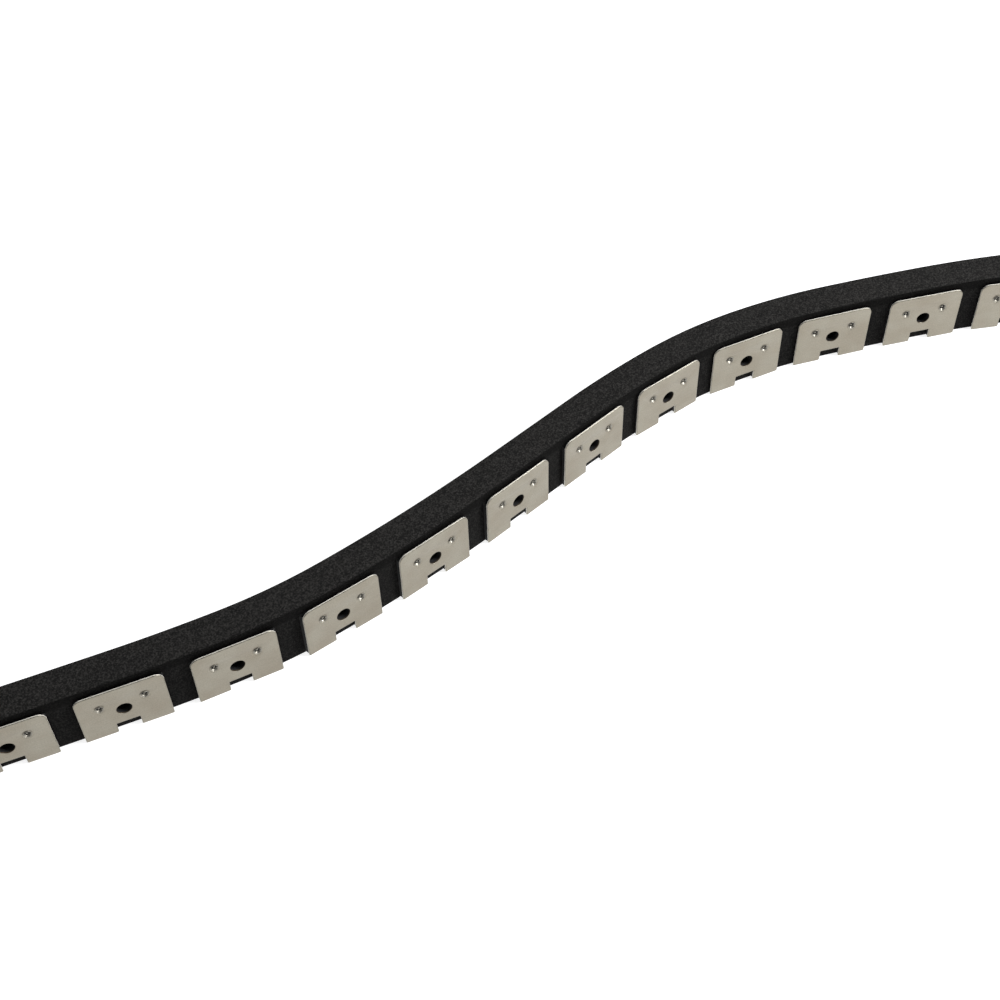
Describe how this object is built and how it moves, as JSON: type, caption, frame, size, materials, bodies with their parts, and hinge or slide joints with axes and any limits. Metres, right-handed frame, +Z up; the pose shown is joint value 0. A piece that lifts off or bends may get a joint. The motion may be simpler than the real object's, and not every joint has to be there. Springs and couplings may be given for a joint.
{
  "type": "rubber track",
  "caption": "Flexible black rubber track strip in an S-curve, standing on edge, with riveted steel clip plates that each have a screw hole and a bottom notch.",
  "frame": {"origin": "middle of the sixth segment, on the strip's neutral line, at the underside of the rubber", "axes": "+X along the strip's overall run, +Y towards its plain back face, +Z up; the plates are on the -Y side"},
  "size_m": [0.2701, 0.1404, 0.0173],
  "materials": {
    "rubber": "matte, finely grained",
    "plate_steel": "satin, fine lengthwise grain",
    "pad_rubber": "matte",
    "rivet_steel": "bright, formed"
  },
  "bodies": {
    "segment_01": {"rubber_01": "rubber", "clip_plate_01": "plate_steel", "backing_pad_01": "pad_rubber", "rivets_01": "rivet_steel"},
    "segment_02": {"rubber_02": "rubber", "clip_plate_02": "plate_steel", "backing_pad_02": "pad_rubber", "rivets_02": "rivet_steel"},
    "segment_03": {"rubber_03": "rubber", "clip_plate_03": "plate_steel", "backing_pad_03": "pad_rubber", "rivets_03": "rivet_steel"},
    "segment_04": {"rubber_04": "rubber", "clip_plate_04": "plate_steel", "backing_pad_04": "pad_rubber", "rivets_04": "rivet_steel"},
    "segment_05": {"rubber_05": "rubber", "clip_plate_05": "plate_steel", "backing_pad_05": "pad_rubber", "rivets_05": "rivet_steel"},
    "segment_06": {"rubber_06": "rubber", "clip_plate_06": "plate_steel", "backing_pad_06": "pad_rubber", "rivets_06": "rivet_steel"},
    "segment_07": {"rubber_07": "rubber", "clip_plate_07": "plate_steel", "backing_pad_07": "pad_rubber", "rivets_07": "rivet_steel"},
    "segment_08": {"rubber_08": "rubber", "clip_plate_08": "plate_steel", "backing_pad_08": "pad_rubber", "rivets_08": "rivet_steel"},
    "segment_09": {"rubber_09": "rubber", "clip_plate_09": "plate_steel", "backing_pad_09": "pad_rubber", "rivets_09": "rivet_steel"},
    "segment_10": {"rubber_10": "rubber", "clip_plate_10": "plate_steel", "backing_pad_10": "pad_rubber", "rivets_10": "rivet_steel"},
    "segment_11": {"rubber_11": "rubber", "clip_plate_11": "plate_steel", "backing_pad_11": "pad_rubber", "rivets_11": "rivet_steel"},
    "segment_12": {"rubber_12": "rubber", "clip_plate_12": "plate_steel", "backing_pad_12": "pad_rubber", "rivets_12": "rivet_steel"}
  },
  "joints": [
    {"name": "bend_01", "type": "hinge", "parent": "segment_02", "child": "segment_01", "pos_m": [-0.09705, -0.0585, 0.00865], "axis": [0, 0, -1], "range_deg": [-15.5, 14.5], "stiffness_Nm_per_rad": 0.05},
    {"name": "bend_02", "type": "hinge", "parent": "segment_03", "child": "segment_02", "pos_m": [-0.07339, -0.04927, 0.00865], "axis": [0, 0, -1], "range_deg": [-18.5, 11.5], "stiffness_Nm_per_rad": 0.05},
    {"name": "bend_03", "type": "hinge", "parent": "segment_04", "child": "segment_03", "pos_m": [-0.05033, -0.03862, 0.00865], "axis": [0, 0, -1], "range_deg": [-25, 5], "stiffness_Nm_per_rad": 0.05},
    {"name": "bend_04", "type": "hinge", "parent": "segment_05", "child": "segment_04", "pos_m": [-0.02947, -0.02412, 0.00865], "axis": [0, 0, -1], "range_deg": [-18.5, 11.5], "stiffness_Nm_per_rad": 0.05},
    {"name": "bend_05", "type": "hinge", "parent": "segment_06", "child": "segment_05", "pos_m": [-0.00954, -0.00838, 0.00865], "axis": [0, 0, -1], "range_deg": [-18, 12], "stiffness_Nm_per_rad": 0.05},
    {"name": "bend_06", "type": "hinge", "parent": "segment_06", "child": "segment_07", "pos_m": [0.00954, 0.00838, 0.00865], "axis": [0, 0, 1], "range_deg": [-15, 15], "stiffness_Nm_per_rad": 0.05},
    {"name": "bend_07", "type": "hinge", "parent": "segment_07", "child": "segment_08", "pos_m": [0.02862, 0.02515, 0.00865], "axis": [0, 0, 1], "range_deg": [-9, 21], "stiffness_Nm_per_rad": 0.05},
    {"name": "bend_08", "type": "hinge", "parent": "segment_08", "child": "segment_09", "pos_m": [0.04935, 0.03982, 0.00865], "axis": [0, 0, 1], "range_deg": [-3, 27], "stiffness_Nm_per_rad": 0.05},
    {"name": "bend_09", "type": "hinge", "parent": "segment_09", "child": "segment_10", "pos_m": [0.07268, 0.04987, 0.00865], "axis": [0, 0, 1], "range_deg": [-6, 24], "stiffness_Nm_per_rad": 0.05},
    {"name": "bend_10", "type": "hinge", "parent": "segment_10", "child": "segment_11", "pos_m": [0.09729, 0.05614, 0.00865], "axis": [0, 0, 1], "range_deg": [-13, 17], "stiffness_Nm_per_rad": 0.05},
    {"name": "bend_11", "type": "hinge", "parent": "segment_11", "child": "segment_12", "pos_m": [0.12211, 0.06156, 0.00865], "axis": [0, 0, 1], "range_deg": [-10, 20], "stiffness_Nm_per_rad": 0.05}
  ]
}
